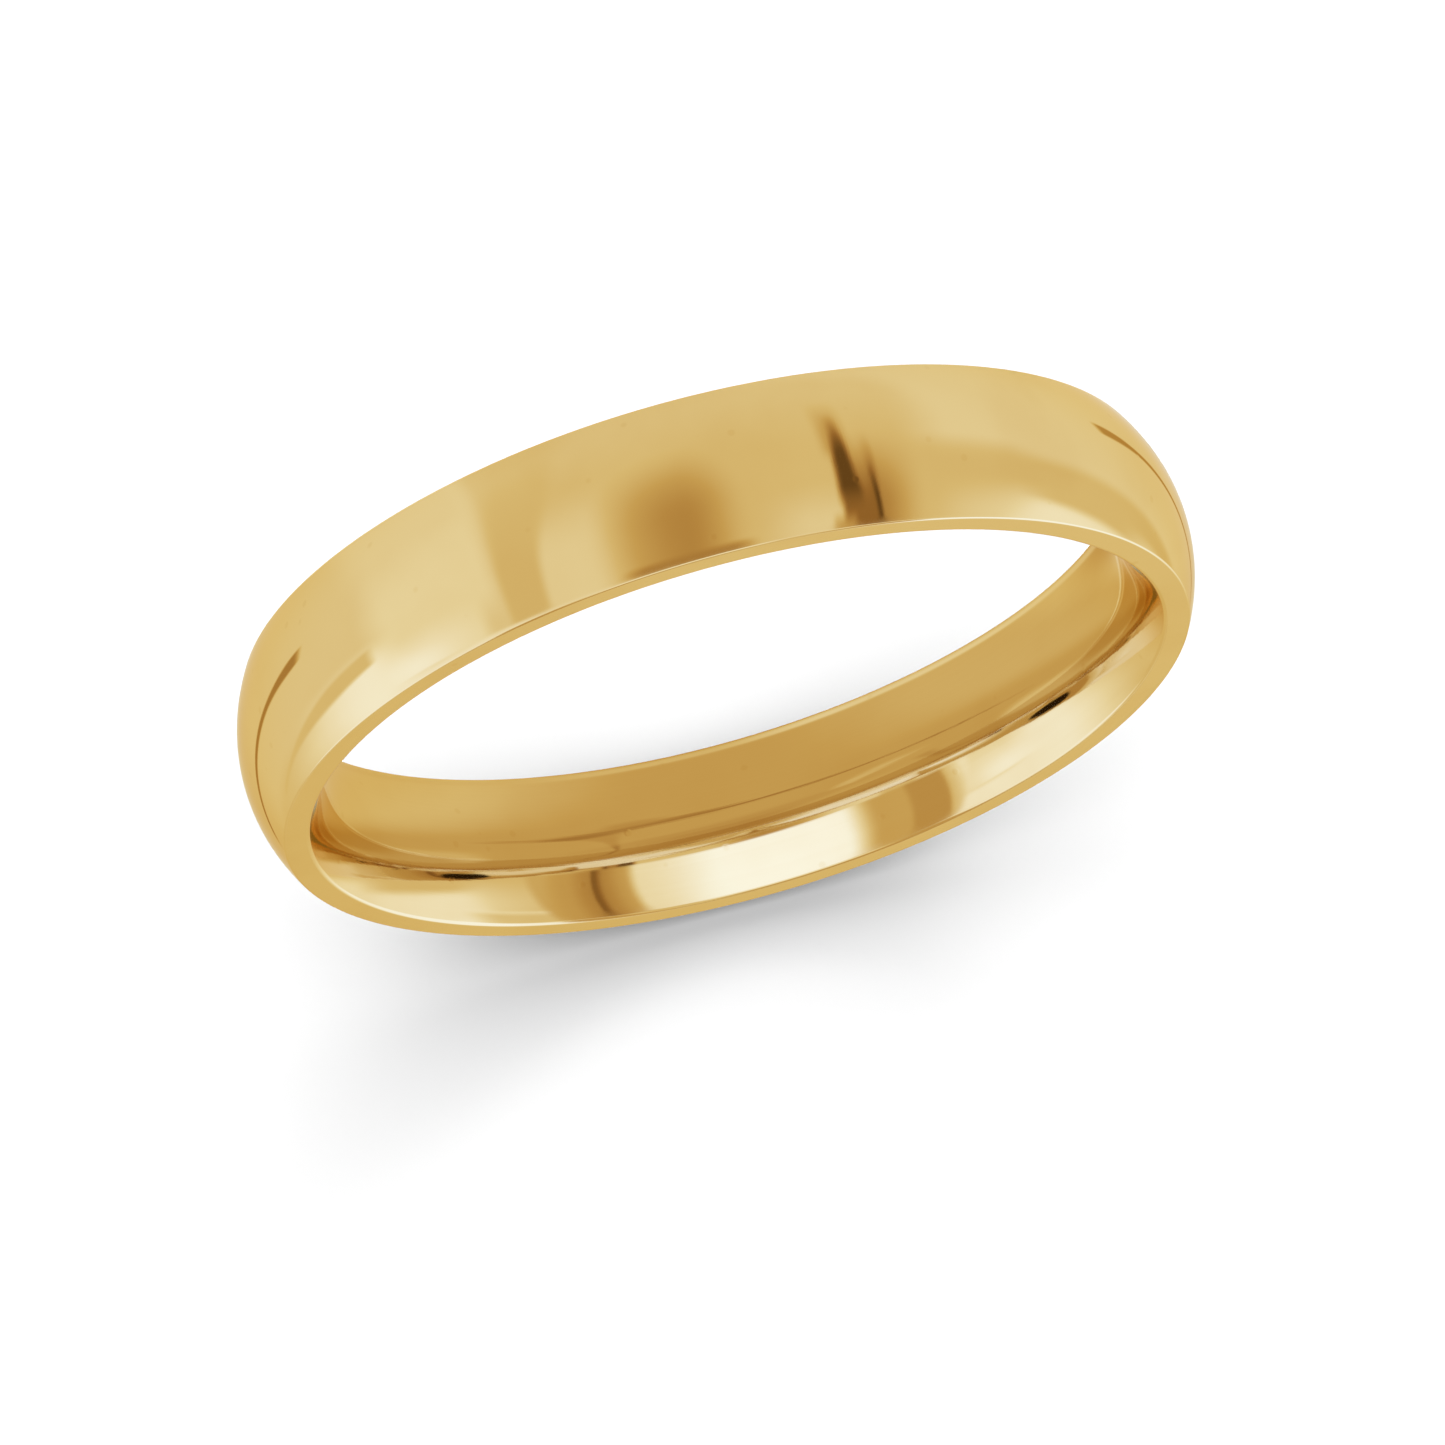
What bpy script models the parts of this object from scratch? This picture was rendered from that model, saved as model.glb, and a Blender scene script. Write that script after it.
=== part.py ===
"""A plain wedding band, stood on its edge: domed outside, comfort-fit inside, narrow flat rims.

The finger axis is Y, the origin is the centre of the ring, and the front rim faces -Y.
"""

from math import atan2, cos, pi, radians, sin, sqrt

import bmesh
import bpy

# Driving dimensions, in metres.
CROWN_DIAMETER = 0.0233  # over the top of the dome
FINGER_DIAMETER = 0.0198  # at the narrowest part of the hole
BAND_WIDTH = 0.0040  # from rim to rim, along the finger
DOME_ARC_RADIUS = 0.0040  # of the outside, from rim to rim
COMFORT_ARC_RADIUS = 0.0036  # of the inside, which bulges towards the finger
OUTER_EDGE_ROUND = 0.00006  # between the dome and a rim
INNER_EDGE_ROUND = 0.00012  # between a rim and the inside

# How finely the curves are divided.
TURN_STEPS = 120
ARC_STEPS = 8
OUTER_ROUND_STEPS = 1
INNER_ROUND_STEPS = 2

SHARP_EDGE_ANGLE = radians(50)
GOLD_COLOUR = (0.83, 0.58, 0.22, 1.0)
GOLD_ROUGHNESS = 0.08


def clear_scene():
    for thing in list(bpy.data.objects):
        bpy.data.objects.remove(thing, do_unlink=True)


def arc(centre, radius, start, end, steps):
    """Points of an arc in the section's plane, as (along the finger, out from the axis)."""
    turns = [start + (end - start) * step / steps for step in range(steps + 1)]
    return [(centre[0] + radius * sin(turn), centre[1] + radius * cos(turn)) for turn in turns]


def edge_round(arc_radius, round_radius):
    """A rim edge's round, tangent to the rim and to an arc about (0, 0) on the band's mid plane.

    Returns its centre, along the finger and out from the arc's centre, and the angle from the
    mid plane at which it meets the arc.
    """
    along = BAND_WIDTH / 2 - round_radius
    out = sqrt((arc_radius - round_radius) ** 2 - along**2)
    return along, out, atan2(along, out)


def outside():
    """The dome with the two rounds at its ends, from the front rim to the back rim."""
    centre = CROWN_DIAMETER / 2 - DOME_ARC_RADIUS
    along, out, meet = edge_round(DOME_ARC_RADIUS, OUTER_EDGE_ROUND)
    front = arc((-along, centre + out), OUTER_EDGE_ROUND, -pi / 2, -meet, OUTER_ROUND_STEPS)
    dome = arc((0, centre), DOME_ARC_RADIUS, -meet, meet, ARC_STEPS)
    back = arc((along, centre + out), OUTER_EDGE_ROUND, meet, pi / 2, OUTER_ROUND_STEPS)
    return front + dome[1:-1] + back


def inside():
    """The comfort-fit bulge with the two rounds at its ends, from the back rim to the front rim."""
    centre = FINGER_DIAMETER / 2 + COMFORT_ARC_RADIUS
    along, out, meet = edge_round(COMFORT_ARC_RADIUS, INNER_EDGE_ROUND)
    back = arc((along, centre - out), INNER_EDGE_ROUND, pi / 2, pi - meet, INNER_ROUND_STEPS)
    bulge = arc((0, centre), COMFORT_ARC_RADIUS, pi - meet, pi + meet, ARC_STEPS)
    front = arc((-along, centre - out), INNER_EDGE_ROUND, pi + meet, 3 * pi / 2, INNER_ROUND_STEPS)
    return back + bulge[1:-1] + front


def turned(name, section):
    """The closed section, one full turn about the finger axis."""
    shape = bmesh.new()
    corners = [shape.verts.new((out, along, 0)) for along, out in section]
    for start, end in zip(corners, corners[1:] + corners[:1]):
        shape.edges.new((start, end))
    bmesh.ops.spin(
        shape,
        geom=shape.verts[:] + shape.edges[:],
        cent=(0, 0, 0),
        axis=(0, 1, 0),
        angle=2 * pi,
        steps=TURN_STEPS,
        use_merge=True,
    )
    bmesh.ops.recalc_face_normals(shape, faces=shape.faces[:])
    mesh = bpy.data.meshes.new(name)
    shape.to_mesh(mesh)
    shape.free()
    mesh.shade_smooth()
    mesh.set_sharp_from_angle(angle=SHARP_EDGE_ANGLE)
    piece = bpy.data.objects.new(name, mesh)
    bpy.context.collection.objects.link(piece)
    return piece


def polished_gold():
    material = bpy.data.materials.new("polished_gold")
    material.use_nodes = True
    shader = material.node_tree.nodes["Principled BSDF"]
    shader.inputs["Base Color"].default_value = GOLD_COLOUR
    shader.inputs["Metallic"].default_value = 1.0
    shader.inputs["Roughness"].default_value = GOLD_ROUGHNESS
    material.diffuse_color = GOLD_COLOUR
    return material


clear_scene()
band = turned("band", outside() + inside())
band.data.materials.append(polished_gold())
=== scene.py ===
"""The look of the wedding band: a polished, finely turned gold ring stood on white paper.

The ring stands on its edge with the finger axis along Y, and the camera looks down on its front.
Lengths in the studio are in ring radii, and directions are (turn, height) in degrees:
turn 0 is the front (-Y), 90 is +X and 180 is the back, and height 90 is straight up.
"""

from math import atan2, cos, pi, radians, sin, sqrt

import bpy
import numpy as np
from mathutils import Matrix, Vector


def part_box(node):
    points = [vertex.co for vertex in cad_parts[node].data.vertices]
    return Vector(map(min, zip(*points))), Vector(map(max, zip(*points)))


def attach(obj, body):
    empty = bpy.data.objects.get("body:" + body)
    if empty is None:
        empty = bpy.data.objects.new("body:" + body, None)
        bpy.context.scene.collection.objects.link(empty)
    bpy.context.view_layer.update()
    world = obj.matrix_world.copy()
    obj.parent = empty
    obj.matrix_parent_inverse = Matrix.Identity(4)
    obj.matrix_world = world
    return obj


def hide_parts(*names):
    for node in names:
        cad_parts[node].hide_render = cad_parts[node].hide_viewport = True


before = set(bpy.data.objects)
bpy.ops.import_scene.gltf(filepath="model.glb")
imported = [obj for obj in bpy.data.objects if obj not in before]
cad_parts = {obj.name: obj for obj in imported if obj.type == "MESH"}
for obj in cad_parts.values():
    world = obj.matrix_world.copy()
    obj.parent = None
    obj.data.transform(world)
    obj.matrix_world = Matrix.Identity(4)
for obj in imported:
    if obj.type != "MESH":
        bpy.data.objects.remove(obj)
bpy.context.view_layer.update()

# ---------------------------------------------------------------- sizes, from the frame
BAND_LOW, BAND_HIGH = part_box("band")
RADIUS = (BAND_HIGH.z - BAND_LOW.z) / 2
CENTRE = (BAND_LOW + BAND_HIGH) / 2
WIDTH = BAND_HIGH.y - BAND_LOW.y

# The section's other dimensions, in metres, as the CAD has them.
FINGER_DIAMETER = 0.0198
DOME_ARC_RADIUS = 0.0040
COMFORT_ARC_RADIUS = 0.0036
OUTER_EDGE_ROUND = 0.00006
INNER_EDGE_ROUND = 0.00012

TURN_STEPS = 1080
ARC_STEPS = 32
ROUND_STEPS = 5


# ---------------------------------------------------------------- helpers


def add_object(name, data):
    """A new object in the scene, made from a mesh, a lamp or a camera."""
    thing = bpy.data.objects.new(name, data)
    bpy.context.collection.objects.link(thing)
    return thing


def hide_from(thing, *rays):
    """Makes a thing unseen by these kinds of ray."""
    for kind in rays:
        setattr(thing, "visible_" + kind, False)


class Nodes:
    """Short calls for building a material's nodes."""

    def __init__(self, material):
        material.use_nodes = True
        self.tree = material.node_tree

    def give(self, socket, value):
        """Links a socket to another node's output, or sets it to a plain value."""
        if isinstance(value, bpy.types.NodeSocket):
            self.tree.links.new(value, socket)
        else:
            socket.default_value = value

    def add(self, kind, inputs=None, **settings):
        """A new node with these settings, and with its inputs given by name or number."""
        node = self.tree.nodes.new(kind)
        for name, value in settings.items():
            setattr(node, name, value)
        for name, value in (inputs or {}).items():
            self.give(node.inputs[name], value)
        return node

    def maths(self, operation, *values, clamp=False):
        """The result of a Math node."""
        node = self.add("ShaderNodeMath", dict(enumerate(values)), operation=operation, use_clamp=clamp)
        return node.outputs[0]

    def mix_colour(self, factor, first, second):
        """A colour that goes from the first to the second as the factor goes from 0 to 1."""
        mix = self.add("ShaderNodeMix", data_type="RGBA")
        self.give(mix.inputs["Factor"], factor)
        colour_inputs = [socket for socket in mix.inputs if socket.type == "RGBA"]
        for socket, value in zip(colour_inputs, (first, second)):
            self.give(socket, value)
        return next(socket for socket in mix.outputs if socket.type == "RGBA")

    def replace_shader(self, surface):
        """Takes the plain shader away and puts this surface in its place."""
        self.tree.nodes.remove(self.tree.nodes["Principled BSDF"])
        self.give(self.tree.nodes["Material Output"].inputs["Surface"], surface)


# ---------------------------------------------------------------- the band's shape


def arc(centre, radius, start, end, steps):
    """Points and normals along an arc of the section: (along, out, normal along, normal out)."""
    rows = []
    for step in range(steps + 1):
        turn = start + (end - start) * step / steps
        along, out = sin(turn), cos(turn)
        rows.append((centre[0] + radius * along, centre[1] + radius * out, along, out))
    return rows


def edge_round(arc_radius, round_radius):
    """A rim edge's round: its centre, along and out from the arc's centre, and where it meets the arc."""
    along = WIDTH / 2 - round_radius
    out = sqrt((arc_radius - round_radius) ** 2 - along**2)
    return along, out, atan2(along, out)


def section():
    """The closed section of the band, from the front rim over the dome and back through the hole."""
    dome_centre = RADIUS - DOME_ARC_RADIUS
    along, out, meet = edge_round(DOME_ARC_RADIUS, OUTER_EDGE_ROUND)
    rows = arc((-along, dome_centre + out), OUTER_EDGE_ROUND, -pi / 2, -meet, ROUND_STEPS)
    rows += arc((0, dome_centre), DOME_ARC_RADIUS, -meet, meet, ARC_STEPS)[1:-1]
    rows += arc((along, dome_centre + out), OUTER_EDGE_ROUND, meet, pi / 2, ROUND_STEPS)
    hole_centre = FINGER_DIAMETER / 2 + COMFORT_ARC_RADIUS
    along, out, meet = edge_round(COMFORT_ARC_RADIUS, INNER_EDGE_ROUND)
    rows += arc((along, hole_centre - out), INNER_EDGE_ROUND, pi / 2, pi - meet, ROUND_STEPS)
    rows += arc((0, hole_centre), COMFORT_ARC_RADIUS, pi - meet, pi + meet, ARC_STEPS)[1:-1]
    rows += arc((-along, hole_centre - out), INNER_EDGE_ROUND, pi + meet, 3 * pi / 2, ROUND_STEPS)
    return rows


def turned_band(name):
    """The section turned about the finger axis, with the exact normals of its arcs."""
    rows = section()
    count = len(rows)
    points, normals, faces = [], [], []
    for step in range(TURN_STEPS):
        across, up = cos(2 * pi * step / TURN_STEPS), sin(2 * pi * step / TURN_STEPS)
        points += [CENTRE + Vector((out * across, along, out * up)) for along, out, _, _ in rows]
        normals += [(lean * across, tilt, lean * up) for _, _, tilt, lean in rows]
        here, there = step * count, (step + 1) % TURN_STEPS * count
        for row in range(count):
            after = (row + 1) % count
            faces.append((here + row, here + after, there + after, there + row))
    mesh = bpy.data.meshes.new(name)
    mesh.from_pydata(points, [], faces)
    mesh.shade_smooth()
    mesh.normals_split_custom_set_from_vertices(normals)
    return add_object(name, mesh)


# ---------------------------------------------------------------- the band's gold

# The gold, its deeper patches, its edge-on reflections, and a paler gold where gold is seen mirrored in
# gold, which is painted light that lightens those reflections.
GOLD_COLOUR = (0.84, 0.63, 0.29, 1.0)
DEEP_GOLD_COLOUR = (0.79, 0.56, 0.23, 1.0)
EDGE_TINT = (0.93, 0.79, 0.53, 1.0)
PAINTED_PALE_REFLECTION_GOLD = (0.84, 0.75, 0.62, 1.0)

# Where each finish starts, in metres: in from the rim's plane, and out from the finger axis.
RIM_FLAT = 0.00001
RIM_FADE = 0.00004
EDGE_FADE = 0.00022
RIM_MIDDLE = 0.0108
INSIDE_FADE = 0.0001

# What the lathe and the polishing leave, in metres.
LATHE_LINE_WIDTH = 0.00006
LATHE_LINE_LENGTH = 0.009
INSIDE_LINE_DEPTH = 0.00000048
DOME_LINE_DEPTH = 0.00000004
RIM_LINE_DEPTH = 0.00000022
SCRATCH_DEPTH = 0.00000005
SOFT_WAVE_DEPTH = 0.0000012
PIT_DEPTH = 0.0000004

# How much the distance out counts when the lathe lines are crossed, against the place along.
OUTWARD_SHARE = 1.3

# How fine each mark is: about this many to a metre, and across the scratches 30 times as many.
SCRATCHES, OTHER_SCRATCHES = 900.0, 700.0
HAIR = 30
SOFT_WAVES = 420.0
PITS = 900.0
HAZE_PATCHES = 260.0
WORN_SPOTS = 1600.0
DEEP_PATCHES = 300.0

# The roughness of the clear polish, and what each mark adds to it.
POLISH_ROUGHNESS = 0.02
HAZE_ROUGHNESS = 0.03
INSIDE_ROUGHNESS = 0.005
RIM_ROUGHNESS = 0.07
WORN_ROUGHNESS = 0.10
LINE_ROUGHNESS = 0.015

# How far each mark turns the gold to its deeper colour; in the pits this is painted shade in their
# hollows.
PATCH_SHADE = 0.45
LINE_SHADE = 0.35
PIT_PAINTED_SHADE = 0.5

# The renderer follows four mirror bounces. Gold that is met after the fourth glows faintly instead.
LAST_BOUNCE = 3.5
LAST_BOUNCE_GLOW = (0.24, 0.30, 0.30, 1.0)


def polished_gold():
    """Polished gold: finely turned inside and on the rims, buffed on the dome, worn along the edges."""
    material = bpy.data.materials.new("polished_gold")
    nodes = Nodes(material)
    maths = nodes.maths
    shader = nodes.tree.nodes["Principled BSDF"]
    shader.inputs["Metallic"].default_value = 1.0
    shader.inputs["Specular Tint"].default_value = EDGE_TINT

    place = nodes.add("ShaderNodeTexCoord").outputs["Object"]
    across, along, up = nodes.add("ShaderNodeSeparateXYZ", {"Vector": place}).outputs
    out = maths("SQRT", maths("ADD", maths("MULTIPLY", across, across), maths("MULTIPLY", up, up)))
    beside = maths("ABSOLUTE", along)

    def step(value, low, high):
        settings = {"Value": value, "From Min": low, "From Max": high}
        return nodes.add("ShaderNodeMapRange", settings, interpolation_type="SMOOTHSTEP").outputs["Result"]

    def noise(vector, scale, detail=2.0, rough=0.5):
        settings = {"Vector": vector, "Scale": scale, "Detail": detail, "Roughness": rough}
        return nodes.add("ShaderNodeTexNoise", settings).outputs["Fac"]

    def hair_lines(turn, stretch, scale):
        settings = {"Vector": place, "Rotation": turn, "Scale": stretch}
        return noise(nodes.add("ShaderNodeMapping", settings).outputs[0], scale)

    # Where on the band: the rims, the inside wall and the worn edges.
    rim = step(beside, WIDTH / 2 - RIM_FADE, WIDTH / 2 - RIM_FLAT)
    off_rim = maths("SUBTRACT", 1.0, rim)
    inside = maths("MULTIPLY", step(out, RIM_MIDDLE + INSIDE_FADE, RIM_MIDDLE - INSIDE_FADE), off_rim)
    edge = maths("MULTIPLY", step(beside, WIDTH / 2 - EDGE_FADE, WIDTH / 2 - RIM_FADE), off_rim)

    # Lathe lines run round the finger axis: fine across the width and long round the turn.
    # The distance out counts as well as the place along, because the rims are crossed outwards.
    crossing = maths("ADD", along, maths("MULTIPLY", out, OUTWARD_SHARE))
    line_place = {
        "X": maths("DIVIDE", across, LATHE_LINE_LENGTH),
        "Y": maths("DIVIDE", crossing, LATHE_LINE_WIDTH),
        "Z": maths("DIVIDE", up, LATHE_LINE_LENGTH),
    }
    lines = noise(nodes.add("ShaderNodeCombineXYZ", line_place).outputs["Vector"], 1.0, 3.0, 0.6)
    inside_lines = maths("MULTIPLY", lines, inside)
    depth = maths("MULTIPLY_ADD", inside, INSIDE_LINE_DEPTH - DOME_LINE_DEPTH, DOME_LINE_DEPTH)
    depth = maths("MULTIPLY_ADD", rim, RIM_LINE_DEPTH, depth)
    cut = maths("MULTIPLY", lines, depth)

    # Buffing leaves hair-fine scratches in two directions, a slow wave and a few tiny pits.
    one_way = hair_lines((0.5, 0.9, 0.3), (1, HAIR, HAIR), SCRATCHES)
    other_way = hair_lines((-0.7, 0.2, 1.1), (HAIR, 1, HAIR), OTHER_SCRATCHES)
    cells = nodes.add("ShaderNodeTexVoronoi", {"Vector": place, "Scale": PITS}).outputs["Distance"]
    pits = step(cells, 0.11, 0.05)
    height = maths("MULTIPLY_ADD", maths("ADD", one_way, other_way), SCRATCH_DEPTH, cut)
    height = maths("MULTIPLY_ADD", noise(place, SOFT_WAVES, 1.0), SOFT_WAVE_DEPTH, height)
    height = maths("MULTIPLY_ADD", pits, -PIT_DEPTH, height)
    bump = nodes.add("ShaderNodeBump", {"Height": height, "Strength": 1.0, "Distance": 1.0})

    # Roughness: a mirror on the dome, softer inside, on the rims and along the worn edges.
    rough = maths("MULTIPLY_ADD", noise(place, HAZE_PATCHES, 4.0), HAZE_ROUGHNESS, POLISH_ROUGHNESS)
    rough = maths("MULTIPLY_ADD", inside, INSIDE_ROUGHNESS, rough)
    rough = maths("MULTIPLY_ADD", rim, RIM_ROUGHNESS, rough)
    rough = maths("MULTIPLY_ADD", maths("MULTIPLY", edge, noise(place, WORN_SPOTS)), WORN_ROUGHNESS, rough)
    rough = maths("MULTIPLY_ADD", inside_lines, LINE_ROUGHNESS, rough)

    # Colour: a little deeper in slow patches and in the inside lines, and darker in the pits, where it is
    # painted shade in their hollows.
    deeper = maths("MULTIPLY", step(noise(place, DEEP_PATCHES, 3.0), 0.40, 0.70), PATCH_SHADE)
    deeper = maths("MULTIPLY_ADD", inside_lines, LINE_SHADE, deeper)
    deeper = maths("ADD", deeper, maths("MULTIPLY", pits, PIT_PAINTED_SHADE), clamp=True)
    tone = nodes.mix_colour(deeper, GOLD_COLOUR, DEEP_GOLD_COLOUR)

    # Where gold is seen mirrored in gold it takes a paler colour, a painted lightening of those
    # reflections, and it glows faintly where the renderer stops following light.
    path = nodes.add("ShaderNodeLightPath").outputs
    tone = nodes.mix_colour(path["Is Glossy Ray"], tone, PAINTED_PALE_REFLECTION_GOLD)
    last = maths("GREATER_THAN", path["Glossy Depth"], LAST_BOUNCE)
    shader.inputs["Emission Color"].default_value = LAST_BOUNCE_GLOW
    material.cycles.emission_sampling = "NONE"

    nodes.give(shader.inputs["Base Color"], tone)
    nodes.give(shader.inputs["Roughness"], rough)
    nodes.give(shader.inputs["Normal"], bump.outputs["Normal"])
    nodes.give(shader.inputs["Emission Strength"], last)
    return material


# ---------------------------------------------------------------- sheets of soft light

# Red, green and blue of light by its strength: weak light is warm, and strong light is cool.
TINTS = (
    (0.00, 0.00, 0.00),
    (0.37, 0.21, 0.08),
    (0.56, 0.39, 0.18),
    (0.68, 0.54, 0.29),
    (0.81, 0.75, 0.56),
    (0.95, 1.02, 1.12),
    (1.03, 1.18, 1.59),
    (1.15, 1.47, 2.58),
)


def tinted(levels):
    """The colour of light at each level, which is its red."""
    red, green, blue = zip(*TINTS)
    return np.stack([levels, np.interp(levels, red, green), np.interp(levels, red, blue)], axis=-1)


def ease(value, low, high):
    """A smooth step from 0 at low to 1 at high."""
    share = np.clip((value - low) / (high - low), 0, 1)
    return share * share * (3 - 2 * share)


def between(value, low, high, soft):
    """1 from low to high, fading to 0 over soft on both sides."""
    return ease(value, low - soft, low) * (1 - ease(value, high, high + soft))


class Painting:
    """The level of light over a sheet, painted one patch over another."""

    def __init__(self, shape, level):
        self.level = np.full(shape, level)

    def __call__(self, mask, value):
        """Brings the level to this value, fully where the mask is 1 and partly where it is less."""
        self.level = self.level + mask * (value - self.level)


def glow_material():
    """Light of the colour painted on the mesh, from its front only: seen from behind it is clear."""
    material = bpy.data.materials.new("soft_light")
    nodes = Nodes(material)
    glow = nodes.add("ShaderNodeAttribute", attribute_name="glow").outputs["Color"]
    shade = nodes.add("ShaderNodeAttribute", attribute_name="cover").outputs["Fac"]
    behind = nodes.add("ShaderNodeNewGeometry").outputs["Backfacing"]
    solid = nodes.maths("SUBTRACT", shade, behind, clamp=True)
    light = nodes.add("ShaderNodeEmission", {"Color": glow, "Strength": 1.0}).outputs[0]
    clear = nodes.add("ShaderNodeBsdfTransparent").outputs[0]
    mixed = nodes.add("ShaderNodeMixShader", {"Fac": solid, 1: clear, 2: light}).outputs[0]
    nodes.replace_shader(mixed)
    material.cycles.emission_sampling = "NONE"
    return material


def glow_grid(name, points, levels, cover, material):
    """A sheet of light through a grid of points, seen only in reflections."""
    rows, columns = levels.shape
    index = np.arange(rows * columns).reshape(rows, columns)
    faces = np.stack([index[:-1, :-1], index[:-1, 1:], index[1:, 1:], index[1:, :-1]], axis=-1)
    places = np.array(points) * RADIUS + np.array(CENTRE)
    mesh = bpy.data.meshes.new(name)
    mesh.from_pydata(places.reshape(-1, 3).tolist(), [], faces.reshape(-1, 4).tolist())
    colour = np.ones((rows * columns, 4), np.float32)
    colour[:, :3] = tinted(levels.ravel())
    mesh.attributes.new("glow", "FLOAT_COLOR", "POINT").data.foreach_set("color", colour.ravel())
    share = cover.ravel().astype(np.float32)
    mesh.attributes.new("cover", "FLOAT", "POINT").data.foreach_set("value", share)
    mesh.materials.append(material)
    sheet = add_object(name, mesh)
    hide_from(sheet, "camera", "diffuse", "transmission", "volume_scatter", "shadow")


# ---------------------------------------------------------------- the light tent

TENT_RADIUS = 200.0
TENT_STEP = 0.5
# Below this height the flat map of the sky isn't used: straight down is endlessly far out on it.
LOWEST_MAPPED = -80


def stereo(turn, height):
    """The direction on a flat map of the sky: (side, front), 0 overhead and 1 at the horizon."""
    drop = np.radians(np.maximum(height, LOWEST_MAPPED))
    flat = np.cos(np.radians(height)) / (1 + np.sin(drop))
    return np.sin(np.radians(turn)) * flat, np.cos(np.radians(turn)) * flat


def tent_levels(turn, height):
    """How bright the tent is towards each direction.

    Each line paints one soft patch: where it is, by side and front on the map or by turn and
    height in degrees, and then its level.
    """
    side, front = stereo(turn, height)
    paint = Painting(turn.shape, 0.81)

    # The roof: its rear, its left and right panels and the walls beyond them.
    rear = 1 - ease(front, -0.75, -0.15)
    near = ease(front, 0.0, 0.30)
    paint(rear, 0.85)
    paint(between(side, -0.34, -0.24, 0.12) * ease(front, -0.4, 0.05), 0.915)
    paint(between(side, 0.22, 0.27, 0.14) * near, 0.90)
    paint(ease(-side, 0.42, 0.50), 0.945)
    paint(ease(-side, 0.42, 0.50) * rear, 0.90)
    paint(ease(-side, 0.46, 0.80) * near, 1.10)
    paint(between(-side, 0.46, 0.50, 0.05) * near, 0.87)
    paint(ease(-side, 0.80, 1.0) * (1 - ease(front, -0.1, 0.1)), 0.86)
    paint(ease(side, 0.42, 0.60) * (1 - ease(front, -0.28, -0.02)), 0.90)
    paint(ease(side, 0.40, 0.54) * ease(front, -0.28, -0.02), 0.79)
    paint(ease(side, 0.45, 0.65) * near, 0.88)
    paint(ease(side, 0.60, 0.95) * near, 1.0)

    # The seam at the left, which spreads and softens towards the rear.
    spread = (np.sqrt(front**2 + 0.03) - front) / 2
    seam = np.abs(side + 0.41 - 0.12 * spread)
    fading = 0.35 + 0.65 * ease(front, -0.75, -0.20)
    paint(fading * (1 - ease(seam, 0.035 + 0.01 * spread, 0.062 + 0.10 * spread)), 0.785)

    # The camera and its soft shade, and the darker edge in front of it.
    aside = np.where(side < -0.04, (-0.04 - side) / 0.21, (side + 0.04) / 0.14)
    paint(1 - ease(np.hypot(aside, np.clip(0.06 - front, 0, None) / 0.46), 0, 1), 0.54)
    paint(between(side, -0.13, 0.04, 0.07) * ease(front, 0.26, 0.315), 0.47)

    # The slot at the right: its shade, its tail, a dark line, and a thin line beside it.
    shade = ease(front, -0.30, 0.22)
    paint(shade * ease(side, 0.34, 0.36) * (1 - ease(side, 0.34, 0.50)), 0.46)
    paint(shade * between(side, 0.295, 0.362, 0.016), 0.33)
    tail = between(side, 0.286, 0.302, 0.035) * ease(front, -0.56, -0.22)
    paint(tail * (1 - ease(front, -0.18, -0.06)), 0.64)
    dark = ease(front, -0.44, -0.12) * (1 - ease(front, 0.06, 0.24))
    inner = 0.290 - 0.05 * np.clip(front + 0.08, -0.2, 0)
    outer = 0.311 + 0.04 * np.clip(front, -0.3, 0) + 0.09 * np.clip(front, 0, 0.12)
    paint(dark * between(side, inner, outer, 0.020), 0.15)
    thin = 0.356 + 0.05 * np.clip(front, 0, 0.32)
    paint(ease(front, -0.10, 0.16) * between(side, thin, thin + 0.004, 0.007), 0.12)
    paint(ease(front, 0.20, 0.34) * between(side, 0.27, 0.306, 0.015), 0.64)

    # The front wall, from the horizon up to the roof.
    paint(ease(front, 0.330, 0.345) * between(height, 0, 60, 3), 0.98)

    # Low walls on both sides, and a patch above each of them in front.
    low = 1 - ease(height, 0, 14)
    sides = ease(front, 0.33, 0.38)
    paint(low * between(turn, -85, -16, 14) * ease(height, -52, 0), 1.07)
    paint(low * between(turn, -90, -66, 8) * ease(-height, 6, 48), 0.83)
    paint(low * between(turn, -70, -20, 10) * ease(-height, 32, 50), 0.78)
    paint(low * between(turn, 20, 58, 14) * ease(height, -64, -42), 1.13)
    paint(low * between(turn, 66, 75, 7) * ease(height, -42, -20), 1.03)
    paint(low * between(turn, 83, 92, 5) * ease(height, -40, -20), 0.80)
    paint(low * ease(turn, 96, 106) * (1 - ease(turn, 150, 178)) * ease(height, -62, -48), 0.89)
    paint(sides * between(turn, -90, -50, 10) * between(height, 5, 30, 12), 1.06)
    paint(sides * between(turn, 52, 90, 10) * between(height, 12, 30, 12), 0.84)

    # The shaded gap between the walls in front, with its bright middle, and the dim ground.
    gap = ease(front, 0.5, 0.6) * (1 - ease(front, 1.8, 2.3)) * between(side, -0.45, 0.48, 0.05)
    paint(gap, 0.61)
    paint(gap * between(side, -0.18, 0.22, 0.18) * (1 - ease(front, 0.7, 1.25)), 1.03)
    paint(gap * between(side, 0.18, 0.27, 0.06), 0.80)
    paint(1 - ease(height, -74, -50), 0.79)

    # The thin dark lines that the dome bends into arcs at the two shoulders, and a faint one.
    wedge = 0.9 * ease(height, -42, -26)
    paint(between(turn, -119 - wedge, -117.4 + wedge, 1.2) * between(height, -66, -26, 4), 0.46)
    wedge = 0.8 * ease(height, -42, -30)
    paint(between(turn, 122.5 - wedge, 123.5 + wedge, 1.0) * between(height, -62, -29, 3), 0.54)
    taper = ease(-height, 8, 44)
    faint = between(turn, -93 + 2.4 * taper, -88 - 2.4 * taper, 2.5 - taper)
    paint(faint * between(height, -46, 1, 4), 0.81)
    return paint.level


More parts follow.
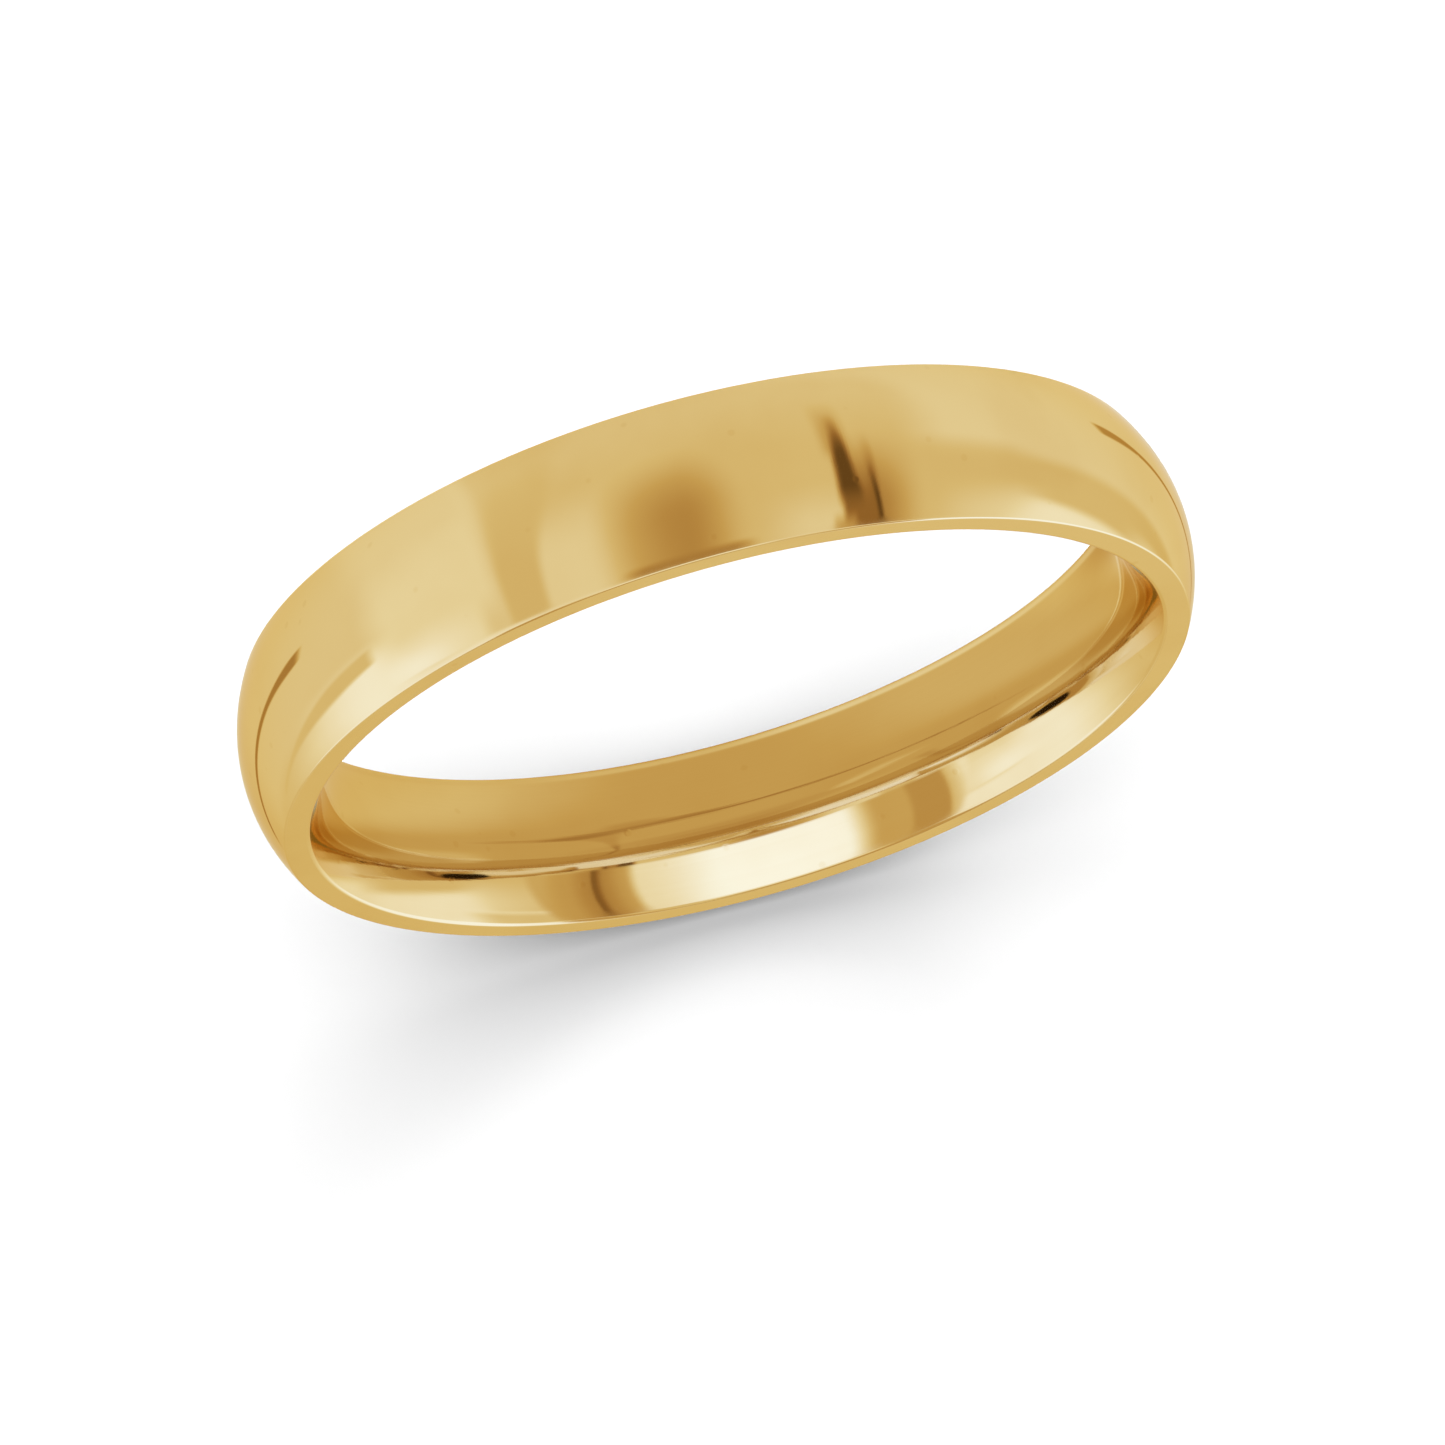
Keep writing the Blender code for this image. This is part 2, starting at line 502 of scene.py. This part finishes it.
def tent(material):
    """The painted sphere of light far round the ring."""
    turns = np.arange(-180.0, 180.0 + TENT_STEP, TENT_STEP)
    heights = np.arange(90.0, -90.0 - TENT_STEP, -TENT_STEP)
    turn, height = np.meshgrid(turns, heights)
    flat = np.cos(np.radians(height))
    side, front = np.sin(np.radians(turn)) * flat, np.cos(np.radians(turn)) * flat
    points = TENT_RADIUS * np.stack([side, -front, np.sin(np.radians(height))], axis=-1)
    levels = tent_levels(turn, height)
    glow_grid("light_tent", points, levels, np.ones_like(levels), material)


# ---------------------------------------------------------------- the cards close to the ring

FRONT_CARD_HEIGHT = 0.3
FRONT_CARD_NEAR, FRONT_CARD_FAR = 0.19, 2.2
FRONT_CARD_HALF = 1.8
FRONT_CARD_STEPS = (361, 41)

BACK_CARD_PLACE = 0.173
BACK_CARD_RADIUS = 0.915
BACK_CARD_STEPS = (721, 306)

# The black ovals that the inside wall reflects twice: place, facing, half sizes and turn in degrees.
LENSES = (
    ((0.70, -0.22, -0.31), (0.70, 0.46, -0.55), (0.122, 0.104), 126),
    ((-0.605, -0.215, -0.475), (-0.60, 0.44, -0.66), (0.136, 0.098), -136),
)
LENS_LEVEL = 0.025
LENS_EDGE = 1.1
LENS_STEPS = 45


def front_card_look(across, deep):
    """The card over the paper in front of the ring: how bright it is, and where it is."""
    # The stripes fan out away from the ring.
    place = across / (1 - 0.17 * (deep + 0.7))
    paint = Painting(place.shape, 0.69)
    paint(between(place, -1.16, -0.78, 0.06), 0.585)
    paint(1 - ease(place, -1.26, -1.14), 0.82)
    paint(1 - ease(place, -1.6, -1.2), 1.02)
    paint(ease(place, -0.52, -0.32), 1.16)
    paint(ease(place, 0.10, 0.52), 1.00)
    paint(ease(place, 0.52, 0.60), 0.67)
    paint(ease(place, 0.58, 0.76), 0.53)
    paint(ease(place, 0.84, 1.10), 0.65)
    paint(ease(place, 1.10, 1.50), 0.72)
    paint(ease(place, 0.74, 0.81) * (1 - ease(place, 0.825, 0.85)), 0.26)
    cover = ease(-deep, FRONT_CARD_NEAR, 0.24) * (1 - ease(-deep, 1.9, FRONT_CARD_FAR))
    cover = cover * (1 - ease(np.abs(across), 1.5, FRONT_CARD_HALF))
    return paint.level, cover


def back_card_look(across, up):
    """The card behind the hole: darker at its top, with a light seam and a dark one."""
    paint = Painting(across.shape, 0.66)
    from_middle = np.hypot(across, up)

    # The dark top, and its lighter left side.
    aside = np.where(across < 0.08, (0.08 - across) / 0.55, (across - 0.08) / 0.85)
    top = ease(up, 0.10, 0.50)
    paint(ease(up, -0.10, 0.12) * (1 - top) * (1 - ease(aside, 0.1, 1.0)), 0.60)
    paint(top * (1 - ease(aside, 0.1, 1.0)), 0.555)
    paint(ease(up, 0.10, 0.40) * ease(-across, 0.30, 0.60), 0.685)

    # The two light corners at the bottom.
    corner = ease(-up - 0.62 + 0.33 * np.abs(across), -0.08, 0.10)
    paint(corner * ease(-across, 0.10, 0.50), 0.81)
    paint(corner * ease(across, 0.10, 0.45), 0.745)
    paint(corner * ease(across, 0.62, 0.78), 0.82)

    # The light seam, the soft dark one at the left, and the dark line at the right.
    paint(between(across + 0.20 + 0.3 * up, -0.01, 0.01, 0.06) * between(up, -0.25, -0.02, 0.12), 0.77)
    paint(between(up + 0.33 + 0.55 * across, -0.01, 0.01, 0.07) * ease(-across, 0.34, 0.50), 0.585)
    line = between(across - 0.36 - 0.68 * up, -0.008, 0.008, 0.014) * between(up, -0.55, 0.5, 0.06)
    paint(line, 0.58)
    paint(line * (ease(up, -0.10, 0.20) + between(up, -0.49, -0.45, 0.04)), 0.44)

    # The light edge along the bottom.
    edge = between(from_middle, 0.889, 0.894, 0.006) * ease(-up, 0.1, 0.5)
    paint(edge, 0.79)
    paint(edge * ease(across, 0.0, 0.3), 0.92)
    return paint.level, 1 - ease(from_middle, 0.906, BACK_CARD_RADIUS)


def lens_look(along, aside):
    """How bright an oval is, and where it is: along and aside are 1 at its edge."""
    return np.full(along.shape, LENS_LEVEL), 1 - ease(np.hypot(along, aside), 0.85, LENS_EDGE)


def front_card(material):
    """A striped card in front of the ring and above the paper, for the inside wall to reflect."""
    wide, long = FRONT_CARD_STEPS
    columns = np.linspace(-FRONT_CARD_HALF, FRONT_CARD_HALF, wide)
    across, deep = np.meshgrid(columns, np.linspace(-FRONT_CARD_NEAR, -FRONT_CARD_FAR, long))
    points = np.stack([across, deep, np.full_like(across, FRONT_CARD_HEIGHT)], axis=-1)
    level, cover = front_card_look(across, deep)
    glow_grid("front_card", points, level, cover, material)


def back_card(material):
    """A round shaded card behind the hole, for the inside wall to reflect."""
    round_steps, out_steps = BACK_CARD_STEPS
    turns = np.linspace(0, 2 * pi, round_steps)
    turn, reach = np.meshgrid(turns, np.linspace(BACK_CARD_RADIUS, 0, out_steps))
    across, up = reach * np.cos(turn), reach * np.sin(turn)
    points = np.stack([across, np.full_like(across, BACK_CARD_PLACE), up], axis=-1)
    level, cover = back_card_look(across, up)
    glow_grid("back_card", points, level, cover, material)


def lenses(material):
    """The two black ovals, each tilted to face its own stretch of the inside wall."""
    steps = np.linspace(-LENS_EDGE, LENS_EDGE, LENS_STEPS)
    along, aside = np.meshgrid(steps, steps)
    level, cover = lens_look(along, aside)
    for number, (place, facing, reach, turn) in enumerate(LENSES, 1):
        normal = Vector(facing).normalized()
        level_side = Vector((0, 0, 1)).cross(normal).normalized()
        upward = normal.cross(level_side)
        long_side = level_side * cos(radians(turn)) + upward * sin(radians(turn))
        short_side = normal.cross(long_side)
        points = [
            Vector(place) + long_side * reach[0] * x + short_side * reach[1] * y
            for x, y in zip(along.ravel(), aside.ravel())
        ]
        grid = np.array(points).reshape(LENS_STEPS, LENS_STEPS, 3)
        glow_grid(f"lens_{number}", grid, level, cover, material)


# ---------------------------------------------------------------- paper, lamps, wall and camera

PAPER_HALF = 80
PAPER_COLOUR = (0.9, 0.9, 0.9, 1.0)
PAPER_ROUGHNESS = 0.9
PAPER_SPECULAR = 0.2

# The paper's light: a wide white ceiling, and a soft box behind on the right. Energies in watts.
CEILING_PLACE = (0, 0, 30)
CEILING_SIZE = 160
CEILING_ENERGY = 14.4
KEY_PLACE = (15, 26, 12)
KEY_SIZE = 22
KEY_ENERGY = 0.85

WALL_RADIUS = 28
WALL_HEIGHT = 60
WALL_STEPS = 96

# The camera's place from the ring's centre, the direction it looks from, its lens and sensor in
# millimetres, and the nearest and farthest that it sees in metres.
CAMERA_PLACE = Vector((-1.957, -7.359, 18.345))
CAMERA_TURN = -14.97
CAMERA_HEIGHT = 67.83
CAMERA_LENS = 242.2
CAMERA_SENSOR = 36
CAMERA_CLIP = (0.01, 10)


def paper_floor():
    """The white paper that the ring stands on, which the gold doesn't reflect."""
    paper = bpy.data.materials.new("white_paper")
    shader = Nodes(paper).tree.nodes["Principled BSDF"]
    shader.inputs["Base Color"].default_value = PAPER_COLOUR
    shader.inputs["Roughness"].default_value = PAPER_ROUGHNESS
    shader.inputs["Specular IOR Level"].default_value = PAPER_SPECULAR
    mesh = bpy.data.meshes.new("paper_floor")
    half, low = PAPER_HALF * RADIUS, BAND_LOW.z
    corners = [(-half, -half, low), (half, -half, low), (half, half, low), (-half, half, low)]
    mesh.from_pydata(corners, [], [(0, 1, 2, 3)])
    mesh.materials.append(paper)
    floor = add_object("paper_floor", mesh)
    hide_from(floor, "glossy")


def soft_box(name, place, size, energy):
    """A square soft light aimed at the ring, for the paper only; the gold sees the tent instead."""
    lamp = bpy.data.lights.new(name, "AREA")
    lamp.shape = "SQUARE"
    lamp.size = size * RADIUS
    lamp.energy = energy
    lamp.cycles.use_multiple_importance_sampling = False
    box = add_object(name, lamp)
    box.location = CENTRE + Vector(place) * RADIUS
    box.rotation_euler = (CENTRE - box.location).to_track_quat("-Z", "Y").to_euler()
    hide_from(box, "glossy", "camera")


def backdrop():
    """The pale studio wall all round, which only the camera sees."""
    wall = bpy.data.materials.new("pale_wall")
    nodes = Nodes(wall)
    light = nodes.add("ShaderNodeEmission", {"Color": (1, 1, 1, 1), "Strength": 1.0}).outputs[0]
    nodes.replace_shader(light)
    wall.cycles.emission_sampling = "NONE"
    radius, low, high = WALL_RADIUS * RADIUS, BAND_LOW.z, WALL_HEIGHT * RADIUS
    points, faces = [], []
    for step in range(WALL_STEPS):
        turn = 2 * pi * step / WALL_STEPS
        across, deep = radius * cos(turn), radius * sin(turn)
        points += [(across, deep, low), (across, deep, high)]
        after = (step + 1) % WALL_STEPS
        faces.append((2 * step, 2 * step + 1, 2 * after + 1, 2 * after))
    mesh = bpy.data.meshes.new("backdrop")
    mesh.from_pydata(points, [], faces)
    mesh.materials.append(wall)
    sheet = add_object("backdrop", mesh)
    hide_from(sheet, "glossy", "diffuse", "transmission", "volume_scatter", "shadow")


def room():
    """No light from outside: the tent, the lamps and the wall make it all."""
    world = bpy.data.worlds.new("room")
    world.use_nodes = True
    world.node_tree.nodes["Background"].inputs["Strength"].default_value = 0.0
    bpy.context.scene.world = world


def camera():
    """The camera at the photograph's viewing angle."""
    turn, height = radians(CAMERA_TURN), radians(CAMERA_HEIGHT)
    back = Vector((sin(turn) * cos(height), -cos(turn) * cos(height), sin(height)))
    data = bpy.data.cameras.new("camera")
    data.lens = CAMERA_LENS
    data.sensor_width = CAMERA_SENSOR
    data.clip_start, data.clip_end = CAMERA_CLIP
    view = add_object("camera", data)
    view.location = CENTRE + CAMERA_PLACE * RADIUS
    view.rotation_euler = back.to_track_quat("Z", "Y").to_euler()
    bpy.context.scene.camera = view


# ---------------------------------------------------------------- the scene

band = turned_band("polished_band")
band.data.materials.append(polished_gold())
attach(band, "root")
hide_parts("band")
# The paper's bounce light leaves the band out, so that its shadow stays grey.
hide_from(band, "diffuse")

soft_light = glow_material()
tent(soft_light)
front_card(soft_light)
back_card(soft_light)
lenses(soft_light)
paper_floor()
soft_box("ceiling", CEILING_PLACE, CEILING_SIZE, CEILING_ENERGY)
soft_box("key", KEY_PLACE, KEY_SIZE, KEY_ENERGY)
backdrop()
room()
camera()
bpy.context.scene.view_settings.view_transform = "Standard"
